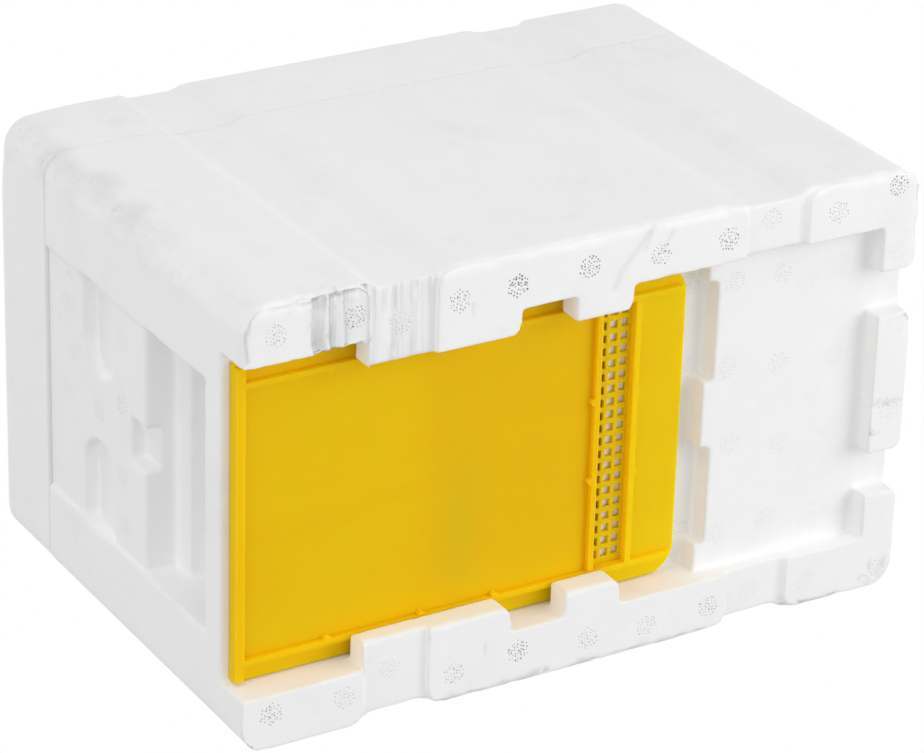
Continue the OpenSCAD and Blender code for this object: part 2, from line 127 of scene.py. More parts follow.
# Painted shade on the slanting faces of the cuts: start and end along Y, and shade
KNIFE_FACES = [
    (-105.0, -100.6, 0.2), (-99.6, -97.4, 0.3), (-94.1, -92.2, 0.2), (-88.8, -86.0, 0.15),
    (-83.2, -80.6, 0.1), (-75.3, -74.6, 0.15), (-70.3, -69.6, 0.15), (-67.9, -67.2, 0.12),
    (-61.9, -59.5, 0.18),
]
KNIFE_FACE_FADE = 0.4
# Scored stretch between the cuts, weaker away from the rail's outer edge
SCORED_Y, SCORED_FADES = (-108, -57), (5, 4)
SCORED_X, SCORED_LEAST = (62 * MM, 76 * MM), 0.35
# Heights over which all marks on the foot plane fade out
FOOT_LEVEL = (14 * MM, 5 * MM)

# Broken lower edge of the right rail's inner wall
BITE_Y, BITE_FADES = (-106 * MM, -86.5 * MM), (9 * MM, 1.5 * MM)
BITE_X, BITE_LEVEL = (55 * MM, 58 * MM), (9 * MM, 1 * MM)
BITE_DEPTH = 2.2 * MM

# Share of a worn place's reach within which its wear is full
FULL_SHARE = 0.2
# Rubbed upright edge at the entrance end's right side, and the crumbled stretch of the rail beside it
SCUFF_REACH = 15 * MM
SCUFF_FADE, SCUFF_LEAST = (30 * MM, 130 * MM), 0.4
SCUFF_DEPTH = 0.5 * MM
CRUMB_Y, CRUMB_FADES = (-126 * MM, -88 * MM), (6 * MM, 3 * MM)
CRUMB_X, CRUMB_LEVEL = (72 * MM, 78 * MM), (6 * MM, 2 * MM)
CRUMB_DEPTH = 0.9 * MM

# Foot plane's outline: its corners, and how its outer edge at +X is rubbed down
EDGE_ROUND = 6 * MM
EDGE_REACH, EDGE_LEVEL, EDGE_X = (3.5 * MM, 0.5 * MM), (3.5 * MM, 1 * MM), (10 * MM, 30 * MM)
EDGE_DEPTH = 1.0 * MM
# Dark lines in the cracks along the rails' outer lower edges: side, start and end along Y
CRACKS = [(1, -131, -91), (-1, -65, 50), (-1, 85, 107)]
CRACK_GAP, CRACK_WIDTH, CRACK_FADE = 1.3 * MM, 1.3 * MM, 3
CRACK_X, CRACK_LEVEL = (61 * MM, 63 * MM), (4 * MM, 2 * MM)
CRACK_DARK = 0.5

# Softer finger scoops of the entrance end with painted shade on their ceilings: heights, places and depths
SCOOP_ROUNDS = 14
SCOOP_X, SCOOP_X_FADES = (17 * MM, 53 * MM), (3 * MM, 3 * MM)
SCOOP_Z, SCOOP_Z_FADES = (99 * MM, 125 * MM), (4 * MM, 4 * MM)
SCOOP_DEPTH = (11 * MM, 9 * MM)
SCOOP_SHADE_DEPTH, SCOOP_SHADE_LEVEL = (9 * MM, 7 * MM), (95 * MM, 105 * MM)
SCOOP_SHADE = 0.06
# Dark spot beside a scoop: X, Z and radius
PANEL_SPOT = (42, 128, 1.4)
PANEL_DEPTH = (8 * MM, 4 * MM)
SPOT_SOIL = 0.9

# Painted shade in the seam, on the grooves' slopes, under the lid's step and on low walls of teeth and lugs
SEAM_SHADE, SEAM_WIDTH, SEAM_X = 0.1, 1.8 * MM, (60 * MM, 70 * MM)
SLOPE_SHADE = 0.02
STEP_SHADE, STEP_DEPTH = 0.3, (3 * MM, 1.5 * MM)
LOW_WALL_LEVEL = (14.8 * MM, 13.8 * MM)
TEETH_SHADE, TEETH_Y, TEETH_FADES = 0.15, (44 * MM, 60 * MM), (3 * MM, 4 * MM)
LUG_SHADE, LUG_Y = 0.1, (100 * MM, 105 * MM)

# Specked places: X, Y and Z, reach and strength
SPECK_PLACES = [
    ((-76, 124, 1), 9, 1.0), ((27, 128.5, 1), 3.5, 1.0), ((-18, 116.5, 1), 3, 0.8), ((-8.5, 123, 0), 6, 0.5),
    ((-80, 98, 0), 10, 0.6), ((-80, 48, 0), 8, 0.5), ((78.5, -116, 0), 8, 0.6), ((78.5, -97, 0), 9, 0.9),
    ((42, -127, 128), 4, 1.0), ((77, -128, 180), 9, 0.5), ((79, -127, 141), 9, 0.5), ((80, 129, 3), 6, 0.5),
]
SCUFF_SPECKS = 0.22

# Crushed corner of the lid at the entrance end's right side: reach, depth and the way it is pressed
CRUSH_REACH = 30 * MM
CRUSH_DEPTH = 1.6 * MM
CRUSH_WAY = np.array((-0.61, 0.61, -0.51))
CRUSH_SOIL = 0.06

# Dark spots on the foot plane: X, Y and radius
SPOTS = [
    (-79, 92, 1.0), (-79, 105, 0.9), (-75.5, 117.5, 1.3), (-73.2, 126, 1.5), (-18.2, 117.2, 1.4),
    (25, 129, 1.6), (-78.5, -14, 0.9), (-78.5, -43, 0.7), (-60.5, -84, 1.2), (60.5, -84, 1.2),
    (-71.5, 120.5, 1.1), (-75.3, 124, 1.4), (-78, 121, 1.2), (-69.5, 127.5, 1.0), (-5.5, 119.5, 0.8),
    (-8.5, 123.5, 0.9),
]

# Creases pressed into the foot plane, with painted shade: points as X and Y, half width and depth
CREASE_SHADE = 0.16
CREASES = [
    ([(59.5, 7.5), (65.5, 10.0), (71.0, 15.0), (79.5, 22.0)], 2.2, 0.6),
    ([(71.0, 18.5), (77.0, 21.0)], 1.4, 0.5),
    ([(69.5, 26.0), (76.0, 29.0)], 1.0, 0.6),
    ([(-7.5, 116.5), (-8.0, 130.0)], 1.6, 0.2),
    ([(-20.0, 116.5), (-19.0, 121.0)], 0.7, 0.4),
    ([(61.0, -47.0), (66.0, -47.0)], 0.9, 0.5),
    ([(-62.0, -38.0), (-66.0, -38.0)], 0.9, 0.4),
]

# Round vent marks left by the mould: dots in a disc, cast onto the foam from outside it
MARK_R = 4.1 * MM
MARK_SEED = 23
CAST_GAP = 20
SEAT_TURN = 0.6
DOT_PITCH = 1.3 * MM
DOT_STRAY = 0.28
DOT_R = 0.52 * MM
DOT_SIDES = 8
DOT_JOIN = 0.001 * MM
# A way that no mark's face looks, from which a dot's corners are counted
DOT_WAY = (0.0, 1.0, 0.3)
# Spread of the dots' sizes and painted shade, and the size of the faintest
DOT_SIZES, DOT_TONES, DOT_LEAST = (0.6, 1.15), (0.5, 1.0), 0.65
# A dot's rings: share of its radius, height and painted shade
RING_SHARES = (0.0, 0.45, 0.72, 1.0)
RING_HEIGHTS = (0.03, 0.04, 0.11, -0.06)
RING_SHADE = (1.0, 0.85, 0.1, 0.0)
# Marks on the underside: X, Y and strength
UNDER_MARKS = [
    (70, -119, 0.65), (70, -90, 0.95), (63.5, -73, 0.55), (68, -52, 1.0), (69, -30, 1.4), (70, -2.5, 1.25),
    (69, 25, 0.95), (69, 52, 1.1), (72, 71, 0.4), (70, 96.5, 0.65), (75, 121, 0.95),
    (-67, -119.5, 0.9), (-68, -92, 0.55), (-63, -74, 0.3), (-70, -50, 0.7), (-68, -25, 1.0),
    (-70.5, 3, 0.75), (-71.5, 27, 0.6), (-70.5, 52, 0.8), (-70, 70, 0.15), (-70, 93, 0.35), (-74, 124, 0.45),
    (48.5, 61, 0.36), (48, 80.5, 0.3), (46.5, 104, 0.1), (16.5, 59.5, 0.37), (14, 81, 0.3),
    (11.5, 104, 0.15), (-13, 62.5, 0.25), (-17.5, 83, 0.2), (-16, 104, 0.1), (-47, 59, 0.25),
    (-45.5, 79.5, 0.2), (-46.5, 102.5, 0.1), (50.5, 123, 0.2), (22.5, 124.5, 0.2), (-45, 122, 0.15),
    (-10, 124, 0.45),
    (47, 48, 0.3), (16, 48, 0.3), (-18, 48, 0.3), (-46, 48, 0.3),
]
# Marks on the entrance end: X, Z and strength
PANEL_MARKS = [
    (30, 131, 0.2), (34, 87, 0.2), (15, 125, 0.15), (10, 88.5, 0.45), (-0.5, 106, 0.35), (-2.5, 130.5, 0.15),
    (-17.5, 88.5, 0.4), (-36, 87, 0.15),
]

# Copies of the CAD nodes: how near points are joined, and how flat faces are made whole
JOIN_DISTANCE = 0.002 * MM
FLAT_ANGLE = 0.01

# Plastic pieces: how far their edges are rounded, in how many steps, and from what angle on
SLIDE_EDGE = 0.4 * MM
INNER_EDGE = 0.3 * MM
EDGE_STEPS = 2
SHARP_ANGLE = 0.6

# Floor slide: its plate, and what is left of its gate mark
SLIDE_T = 2.5 * MM
GATE_R = 6 * MM
GATE_LEFT = 0.03 * MM
# Its vent grid: distance from the rear edge, half size along Y and X, and what is taken off its front
GRID_FROM_REAR, GRID_HALF, GRID_REACH, GRID_THIN = 27.5 * MM, 6.5 * MM, 51 * MM, 1.2 * MM
ON_PLATE = 0.05 * MM
# How deep light goes into it
GLOW = dict(Subsurface_Weight=0.8, Subsurface_Radius=(1.0, 0.8, 0.1), Subsurface_Scale=3.5 * MM)
# Painted shade where less light comes through it from behind: middle and half size in X and Y, and share
BACKING_SHADE_BOXES = [((0, -22.5), (52, 38), 0.6), ((0, -98), (80, 36), 0.35)]
BACKING_SHADE_FADE = (1.3, 0.7)
# Pale streak: how far its middle lies from the slide's towards -X, its half sizes and its share
STREAK_OFF, STREAK_HALF, STREAK_SHARE = 22 * MM, (48 * MM, 14 * MM, 30 * MM), 0.7

# Colours, as the low and high end where there are two
FOAM_WHITES = (0.925, 0.925, 0.925), (0.96, 0.96, 0.96)
# Grey of the foam's dirt and of its painted shade
FOAM_DIRT_AND_SHADE = (0.45, 0.445, 0.43)
# Painted shade of the vent dots' pits, and the white of their rims
PIT_SHADE, RIM_WHITE = (0.06, 0.06, 0.06), (0.95, 0.95, 0.95)
SLIDE_YELLOWS = (0.97, 0.59, 0.003), (0.99, 0.635, 0.004)
INNER_YELLOWS = (0.76, 0.47, 0.010), (0.84, 0.55, 0.020)
# Painted shade of the slide where less light comes through it from behind
BACKING_SHADE_YELLOW = (0.83, 0.48, 0.002)
STREAK_YELLOW = (0.76, 0.53, 0.008)

# Floor and surroundings: half size, drop below the feet, distances over which it fades, tone and light
FLOOR_HALF, FLOOR_DROP, FLOOR_FADE = 4.0, 0.3 * MM, (0.25, 1.1)
FLOOR_TONE = 0.82
WORLD_LIGHT = 0.55
# Soft boxes: name, place, size and watts
LAMPS = [
    ("front", (0.3, -1.45, -0.5), 1.2, 4.7),
    ("below", (0.5, 1.0, -1.1), 1.2, 11.1),
    ("right", (1.45, -0.5, -0.25), 1.0, 4.15),
    ("above", (0.2, -0.3, 1.7), 1.2, 6.5),
    ("left", (-1.6, 0.3, 0.5), 1.2, 5.5),
    ("back", (-0.2, 1.6, 0.4), 1.2, 2.6),
]

# The photograph's camera
SENSOR_W = 36
PHOTO_W = 924
FOCAL_PX = 4146.7
CAMERA_AT = Vector((623.8, -678.9, -1035.9)) * MM
CAMERA_AIM = Vector((-0.4336, 0.4674, 0.7704))
CAMERA_UP = Vector((0.9007, 0.1988, 0.3863))


def cloud(points, cell, seed):
    """Smooth random field from -1 to 1.

    A seeded lattice of random values, one every cell, blended between the eight corners around a point
    by the smooth step 3t^2 - 2t^3.
    """
    steps = (points - points.min(axis=0)) / cell
    base = np.floor(steps).astype(int)
    t = steps - base
    t = t * t * (3 - 2 * t)
    lattice = np.random.default_rng(seed).uniform(-1, 1, base.max(axis=0) + 2)
    total = np.zeros(len(points))
    for corner in np.ndindex(2, 2, 2):
        share = np.prod(np.where(corner, t, 1 - t), axis=1)
        total += share * lattice[tuple((base + corner).T)]
    return total


def uneven(points, middle, swing, cell, seed):
    """A random field that swings about a middle value."""
    return middle + swing * cloud(points, cell, seed)


def ramp(value, start, end):
    """0 before start, 1 after end, and a smooth step between them."""
    t = np.clip((value - start) / (end - start), 0, 1)
    return t * t * (3 - 2 * t)


def stretch(value, ends, fades):
    """1 between two ends and 0 beyond them, with a smooth step inside each end."""
    return ramp(value, ends[0], ends[0] + fades[0]) * ramp(value, ends[1], ends[1] - fades[1])


def valley(distance, half_width):
    """1 on a line, falling to 0 at half_width from it as a raised cosine."""
    return 0.5 + 0.5 * np.cos(np.pi * np.clip(np.abs(distance) / half_width, 0, 1))


def softened(points, edges, rounds, freedom):
    """Each point drawn half way to the mean of its neighbours, as far as its freedom lets it, in rounds."""
    count = np.bincount(edges.ravel(), minlength=len(points))[:, None]
    ends = np.concatenate([edges[:, 0], edges[:, 1]])
    others = np.concatenate([edges[:, 1], edges[:, 0]])
    for _ in range(rounds):
        sums = [np.bincount(ends, points[others, axis], len(points)) for axis in range(3)]
        points = points + 0.5 * freedom[:, None] * (np.stack(sums, axis=1) / count - points)
    return points


def segment_distance(flat, start, end):
    """Distance of points on a plane from the line between two points."""
    start, end = np.array(start), np.array(end)
    run = end - start
    share = np.clip((flat - start) @ run / (run @ run), 0, 1)
    return np.linalg.norm(flat - start - share[:, None] * run, axis=1)


def new_piece(name, mesh, body, slot, *nodes):
    """Puts a mesh into the scene as a piece that rides on a body and stands for CAD nodes."""
    piece = bpy.data.objects.new(name, mesh)
    bpy.context.scene.collection.objects.link(piece)
    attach(piece, body)
    if nodes:
        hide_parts(*nodes)
    return piece


def merged_copy(node):
    """A node's mesh as a closed surface, with its loose triangles joined and its flat faces whole."""
    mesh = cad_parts[node].data.copy()
    shape = bmesh.new()
    shape.from_mesh(mesh)
    bmesh.ops.remove_doubles(shape, verts=shape.verts, dist=JOIN_DISTANCE)
    bmesh.ops.dissolve_limit(
        shape, angle_limit=FLAT_ANGLE, verts=shape.verts, edges=shape.edges, delimit=set()
    )
    shape.to_mesh(mesh)
    shape.free()
    mesh.materials.clear()
    return mesh


def finished_mesh(mesh, kind, **settings):
    """A mesh with one modifier applied."""
    holder = bpy.data.objects.new("holder", mesh)
    bpy.context.scene.collection.objects.link(holder)
    modifier = holder.modifiers.new(kind.lower(), kind)
    for key, value in settings.items():
        setattr(modifier, key, value)
    graph = bpy.context.evaluated_depsgraph_get()
    done = bpy.data.meshes.new_from_object(holder.evaluated_get(graph))
    bpy.data.objects.remove(holder)
    bpy.data.meshes.remove(mesh)
    return done


def mesh_points(mesh):
    """Points and edges of a mesh as arrays."""
    points = np.empty(len(mesh.vertices) * 3, np.float32)
    edges = np.empty(len(mesh.edges) * 2, np.int32)
    mesh.vertices.foreach_get("co", points)
    mesh.edges.foreach_get("vertices", edges)
    return points.reshape(-1, 3).astype(float), edges.reshape(-1, 2)


def mesh_normals(mesh, points):
    """Vertex normals of a mesh after its points are set."""
    mesh.vertices.foreach_set("co", points.astype(np.float32).ravel())
    mesh.update()
    normals = np.empty(len(points) * 3, np.float32)
    mesh.vertex_normals.foreach_get("vector", normals)
    return normals.reshape(-1, 3).astype(float)


def route_distance(flat, route):
    """Distance of points on a plane from a line through several points."""
    return np.min([segment_distance(flat, *ends) for ends in zip(route[:-1], route[1:])], axis=0)


def foot_marks(points, normals):
    """Lift, painted shade, dirt and scoring of the foot plane: knife cuts on the right rail, creases, dark
    spots.

    The cuts' profile is read along Y, a little to either side, and given painted shade where it is steep.
    A crease or a spot is a raised cosine of the distance from its route or middle.
    """
    flat = points[:, :2] / MM
    down = ramp(-normals[:, 2], *DOWN_FACE) * ramp(points[:, 2], *FOOT_LEVEL)
    rail = ramp(points[:, 0], *KNIFE_X) * uneven(points, *CUT_FIELD)
    place = (points[:, 1] + uneven(points, *CUT_WANDER)) / MM
    steps = (-CUT_STEP, 0, CUT_STEP)
    before, cut, after = (np.interp(place + step, *np.transpose(KNIFE_CUTS)) for step in steps)
    lift = MM * cut * rail
    # Painted shade on the cuts' steep sides and slanting faces
    soil_and_shade = KNIFE_SHADE * np.clip(np.abs(after - before), 0, 1) * rail
    for start, end, shade in KNIFE_FACES:
        ends = (start - KNIFE_FACE_FADE, end + KNIFE_FACE_FADE)
        soil_and_shade += shade * stretch(place, ends, (2 * KNIFE_FACE_FADE, 2 * KNIFE_FACE_FADE)) * rail
    for route, half_width, depth in CREASES:
        pressed = valley(route_distance(flat, route), half_width)
        lift += depth * MM * pressed
        # Painted shade along the crease
        soil_and_shade += CREASE_SHADE * pressed
    for x, y, radius in SPOTS:
        soil_and_shade += SPOT_SOIL * valley(np.hypot(flat[:, 0] - x, flat[:, 1] - y), radius)
    scored = rail * stretch(place, SCORED_Y, SCORED_FADES)
    scored *= SCORED_LEAST + (1 - SCORED_LEAST) * ramp(points[:, 0], *SCORED_X)
    return lift * down, soil_and_shade * down, scored * down


def rail_bite(points, normals):
    """Push towards +X of the right rail's inner wall where its lower edge is broken off."""
    inward = ramp(-normals[:, 0], *INWARD_FACE) * ramp(points[:, 0], *BITE_X)
    along = stretch(points[:, 1], BITE_Y, BITE_FADES)
    low = ramp(points[:, 2], *BITE_LEVEL)
    ragged = uneven(points * [0, 1, 0], *BITE_FIELD)
    return BITE_DEPTH * inward * along * low * ragged


def scuffed(points):
    """Rubbing along the upright edge: 0 beyond its reach, broken up by a random field, least at the foot."""
    away = np.hypot(points[:, 0] - body_high[0], points[:, 1] - FRONT_Y)
    band = ramp(away + uneven(points, *SCUFF_WANDER), SCUFF_REACH, FULL_SHARE * SCUFF_REACH)
    return band * (SCUFF_LEAST + (1 - SCUFF_LEAST) * ramp(points[:, 2], *SCUFF_FADE))


def rounded_in(points, low, high, with_top):
    """Moves that round a box's upright corners to CORNER_ROUND, and its top edges too where asked.

    In a corner, the insets of a point, the radius less its gap to each face nearby, form a vector that
    is shortened to the radius.
    """
    gaps = np.minimum(points - low, high - points)
    gaps[:, 2] = high[2] - points[:, 2] if with_top else CORNER_ROUND
    inset = np.clip(CORNER_ROUND - gaps, 0, CORNER_ROUND)
    length = np.maximum(np.linalg.norm(inset, axis=1), CORNER_ROUND)
    inward = np.where(points - low < high - points, 1, -1)
    return inward * inset * (1 - CORNER_ROUND / length)[:, None]


def near_scoops(points):
    """1 in the finger scoops of the entrance end, 0 beyond them."""
    beside = stretch(np.abs(points[:, 0]), SCOOP_X, SCOOP_X_FADES)
    level = stretch(points[:, 2], SCOOP_Z, SCOOP_Z_FADES)
    return beside * level * ramp(points[:, 1] - FRONT_Y, *SCOOP_DEPTH)


def specked(points):
    """Share of dark specks: a raised cosine of the distance from each place in SPECK_PLACES."""
    shares = [
        strength * valley(np.linalg.norm(points / MM - place, axis=1), reach)
        for place, reach, strength in SPECK_PLACES
    ]
    return np.max(shares, axis=0)


def outline_gap(points):
    """Gap from the outline of the foot plane: its corner radius less the length of the insets."""
    gaps = np.minimum(points - body_low, body_high - points)[:, :2]
    return EDGE_ROUND - np.linalg.norm(np.clip(EDGE_ROUND - gaps, 0, None), axis=1)


def bumpy_edge(points):
    """How far the foot plane's outer edge at +X is rubbed down, uneven by a random field."""
    near = ramp(outline_gap(points), *EDGE_REACH) * ramp(points[:, 2], *EDGE_LEVEL)
    near *= ramp(points[:, 0], *EDGE_X)
    return EDGE_DEPTH * near * uneven(points, *EDGE_FIELD)


def crack_lines(points, normals):
    """Dark lines in the cracks along the rails' outer lower edges, which wander and are broken up by fields.
    """
    broken = np.clip(uneven(points, *CRACK_FIELD), 0, 1)
    crack = valley(outline_gap(points) - CRACK_GAP - uneven(points, *CRACK_WANDER), CRACK_WIDTH)
    crack *= ramp(points[:, 2], *CRACK_LEVEL) * ramp(-normals[:, 2], *EDGE_FACE)
    along = np.zeros(len(points))
    for side, start, end in CRACKS:
        ends = (start - CRACK_FADE, end + CRACK_FADE)
        beside = ramp(side * points[:, 0], *CRACK_X)
        along += stretch(points[:, 1] / MM, ends, (CRACK_FADE, CRACK_FADE)) * beside
    return CRACK_DARK * broken * crack * along


def crumbled(points):
    """1 on the right rail's crumbled outer edge, 0 elsewhere."""
    along = stretch(points[:, 1], CRUMB_Y, CRUMB_FADES)
    return along * ramp(points[:, 0], *CRUMB_X) * ramp(points[:, 2], *CRUMB_LEVEL)


def foam_mesh(node, marks):
    """A foam moulding's skin: the node remeshed evenly, its edges softened, dented and worn.

    The node's surface is drawn in at its edges, then moved along its normals by two random fields, by
    dents and bead-sized chips where an edge is worn, and by the marks that a function gives.
    """
    voxel = FOAM_VOXEL * 1
    mesh = finished_mesh(merged_copy(node), "REMESH", mode="VOXEL", voxel_size=voxel)
    points, edges = mesh_points(mesh)
    freedom = ramp(np.abs(points[:, 2] - SEAM_Z), 0, SEAM_HOLD)
    soft = softened(points, edges, SOFT_ROUNDS, SEAM_FREEDOM + (1 - SEAM_FREEDOM) * freedom)
    normals = mesh_normals(mesh, soft)
    drawn_in = np.sum((points - soft) * normals, axis=1)
    wear = np.clip(drawn_in / WEAR_FULL, 0, 1)
    if node == "body":
        soft = softened(soft, edges, SCOOP_ROUNDS, near_scoops(points))
    scuff = scuffed(soft)
    skin = sum(depth * uneven(soft, 0.5, 0.5, cell, SKIN_SEED) for cell, depth in (SKIN_WAVE, SKIN_RIPPLE))
    dents = DENT_DEPTH * wear * np.clip(uneven(soft, *DENT_FIELD), 0, 1)
    bead = np.clip(uneven(soft, *BEAD_FIELD), 0, 1)
    chips = CHIP_DEPTH * wear * bead * ramp(uneven(soft, *CHIP_FIELD), *CHIP_AREAS)
    rubbed = SCUFF_DEPTH * scuff * np.clip(uneven(soft, *RUB_FIELD), 0, 1)
    rubbed += CRUMB_DEPTH * crumbled(soft) * bead
    depth = freedom * (skin + dents + chips + rubbed + bumpy_edge(soft))
    moves, fields = marks(points, normals)
    points = np.clip(soft - normals * depth[:, None] + moves, *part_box(node))
    mesh.vertices.foreach_set("co", points.astype(np.float32).ravel())
    wear *= ramp(np.linalg.norm(moves, axis=1), *WEAR_FADE)
    fields |= {"wear": wear, "scuff": scuff, "specks": specked(points) + SCUFF_SPECKS * scuff}
    for name, field in fields.items():
        values = np.clip(field, 0, 1).astype(np.float32)
        mesh.attributes.new(name, "FLOAT", "POINT").data.foreach_set("value", values)
    mesh.update()
    triangles = len(mesh.loops) - 2 * len(mesh.polygons)
    mesh = finished_mesh(mesh, "DECIMATE", ratio=min(1, FOAM_TRIANGLES / triangles))
    mesh.polygons.foreach_set("use_smooth", np.ones(len(mesh.polygons), bool))
    return mesh


def side_shade(points, normals):
    """Painted shade in the seam, and on the strap grooves' slopes that look towards the entrance end."""
    seam = valley(points[:, 2] - SEAM_Z, SEAM_WIDTH) * ramp(points[:, 0], *SEAM_X)
    slope = ramp(np.abs(normals[:, 0]), *SIDE_FACE) * ramp(-normals[:, 1], *SLOPE_FACE)
    return SEAM_SHADE * seam + SLOPE_SHADE * slope


def body_marks(points, normals):
    """Foot marks, the broken edge, and painted shade in scoops and on low walls, as moves and painted
    fields.
    """
    moves = rounded_in(points, body_low, body_high, False)
    moves[:, 0] += rail_bite(points, normals)
    lift, soil_and_shade, scored = foot_marks(points, normals)
    moves[:, 2] += lift
    x, z, radius = PANEL_SPOT
    inset = points[:, 1] - FRONT_Y
    ahead = ramp(-normals[:, 1], *AHEAD_FACE)
    spot = valley(np.hypot(points[:, 0] / MM - x, points[:, 2] / MM - z), radius)
    spot *= ahead * ramp(inset, *PANEL_DEPTH)
    # Painted shade on the scoops' down-facing ceilings
    scoop = ramp(-normals[:, 2], *SCOOP_FACE) * ramp(inset, *SCOOP_SHADE_DEPTH)
    scoop *= ramp(points[:, 2], *SCOOP_SHADE_LEVEL)
    soil_and_shade += SPOT_SOIL * spot + SCOOP_SHADE * scoop + side_shade(points, normals)
    # Painted shade on low walls facing the entrance end, at the teeth and the lugs
    low_wall = ahead * ramp(points[:, 2], *LOW_WALL_LEVEL)
    at_teeth = stretch(points[:, 1], TEETH_Y, TEETH_FADES)
    at_lugs = ramp(points[:, 1], *LUG_Y)
    soil_and_shade += low_wall * (TEETH_SHADE * at_teeth + LUG_SHADE * at_lugs) + crack_lines(points, normals)
    return moves, {"soil_and_shade": soil_and_shade, "scored": scored}


def lid_marks(points, normals):
    """The lid's rounded edges, its crushed corner, pressed in most at its tip, and painted shade under its
    step.
    """
    corner = np.array((lid_high[0], lid_low[1], lid_high[2]))
    away = np.linalg.norm(points - corner, axis=1)
    pressed = ramp(away, CRUSH_REACH, FULL_SHARE * CRUSH_REACH) * uneven(points, *CRUSH_FIELD)
    # Painted shade on down-facing faces near the entrance end, under the lid's step
    step = ramp(-normals[:, 2], *DOWN_FACE) * ramp(points[:, 1] - FRONT_Y, *STEP_DEPTH)
    soil_and_shade = CRUSH_SOIL * pressed + STEP_SHADE * step + side_shade(points, normals)
    moves = rounded_in(points, lid_low, lid_high, True) + CRUSH_DEPTH * pressed[:, None] * CRUSH_WAY
    return moves, {"soil_and_shade": soil_and_shade, "scored": 0 * soil_and_shade}


def disc_grid(radius, pitch):
    """Places in a disc on a triangular grid of a given pitch."""
    reach = int(radius / pitch) + 2
    row, column = np.mgrid[-reach:reach + 1, -reach:reach + 1]
    x = (column + 0.5 * (row % 2)) * pitch
    y = row * pitch * np.sqrt(0.75)
    places = np.stack([x.ravel(), y.ravel()], axis=1)
    return places[np.hypot(*places.T) <= radius]


def mark_places():
    """Middles of the vent marks, each with the way its face looks and the strength of its pits' painted
    shade.
    """
    down, front = (0, 0, -1), (0, -1, 0)
    places = [(np.array((x, y, -CAST_GAP)) * MM, down, strength) for x, y, strength in UNDER_MARKS]
    ahead = FRONT_Y / MM - CAST_GAP
    places += [(np.array((x, ahead, z)) * MM, front, strength) for x, z, strength in PANEL_MARKS]
    return places


def dot_seats(skin, rng):
    """Where each vent dot sits on the foam, the foam's normal there and the strength of its painted shade.

    A mark is a disc grid, turned and strayed at random, cast onto the foam against the way its face looks.
    """
    tree = BVHTree.FromPolygons([v.co for v in skin.vertices], [p.vertices for p in skin.polygons])
    grid = disc_grid(MARK_R, DOT_PITCH)
    seats, normals, strengths = [], [], []
    for middle, face, strength in mark_places():
        face = Vector(face)
        across = Vector((1, 0, 0))
        upright = face.cross(across)
        turn = rng.uniform(0, np.pi)
        jitter = rng.uniform(-DOT_STRAY, DOT_STRAY, grid.shape) * DOT_PITCH
        spun = (grid + jitter) @ [[np.cos(turn), np.sin(turn)], [-np.sin(turn), np.cos(turn)]]
        for u, v in spun:
            hit, normal, _, _ = tree.ray_cast(Vector(middle) + across * u + upright * v, -face)
            if hit is not None and normal.dot(face) > SEAT_TURN:
                seats.append(hit)
                normals.append(normal)
                strengths.append(strength)
    return np.array(seats), np.array(normals), np.array(strengths)


def vent_marks_mesh(skin):
    """Every vent dot as a small crater on the foam.

    A crater is a surface of revolution: ring heights over ring radii, turned through DOT_SIDES angles,
    set at the foam's surface along its normal.
    """
    rng = np.random.default_rng(MARK_SEED)
    seats, normals, strengths = dot_seats(skin, rng)
    size = rng.uniform(*DOT_SIZES, len(seats)) * (DOT_LEAST + (1 - DOT_LEAST) * strengths)
    strengths = np.clip(strengths * rng.uniform(*DOT_TONES, len(seats)), 0, 1)
    ring_r = np.array(RING_SHARES) * DOT_R
    ring_h = np.array(RING_HEIGHTS) * MM
    angle = np.arange(DOT_SIDES) * 2 * np.pi / DOT_SIDES
    side = np.cross(normals, DOT_WAY)
    side /= np.linalg.norm(side, axis=1)[:, None]
    other = np.cross(normals, side)
    round_about = np.cos(angle)[:, None, None] * side + np.sin(angle)[:, None, None] * other
    rings = (
        seats[:, None, None] + normals[:, None, None] * ring_h[None, :, None, None]
        + size[:, None, None, None] * ring_r[None, :, None, None] * np.moveaxis(round_about, 0, 1)[:, None]
    )
    dots, ring_count = len(seats), len(ring_r)
    index = np.arange(dots * ring_count * DOT_SIDES).reshape(dots, ring_count, DOT_SIDES)
    after = np.roll(index, -1, axis=2)
    bands = np.stack([index[:, :-1], after[:, :-1], after[:, 1:], index[:, 1:]], axis=-1).reshape(-1, 4)
    mesh = bpy.data.meshes.new("vent_dots")
    inside = np.clip(rings.reshape(-1, 3), *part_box("body"))
    mesh.from_pydata(inside.tolist(), [], bands.tolist())
    # Painted shade of each ring, darkest in the middle of the pit
    pit_shade = strengths[:, None, None] * np.array(RING_SHADE)[None, :, None]
    pit_shade = np.broadcast_to(pit_shade, index.shape).ravel().astype(np.float32)
    mesh.attributes.new("pit_shade", "FLOAT", "POINT").data.foreach_set("value", pit_shade)
    shape = bmesh.new()
    shape.from_mesh(mesh)
    bmesh.ops.remove_doubles(shape, verts=shape.verts, dist=DOT_JOIN)
    bmesh.ops.recalc_face_normals(shape, faces=shape.faces)
    shape.to_mesh(mesh)
    shape.free()
    mesh.polygons.foreach_set("use_smooth", np.ones(len(mesh.polygons), bool))
    return mesh


def plastic_mesh(mesh, edge):
    """A moulded plastic piece with its sharp edges rounded."""
    return finished_mesh(
        mesh, "BEVEL", width=edge, segments=EDGE_STEPS, limit_method="ANGLE", angle_limit=SHARP_ANGLE,
        harden_normals=True,
    )


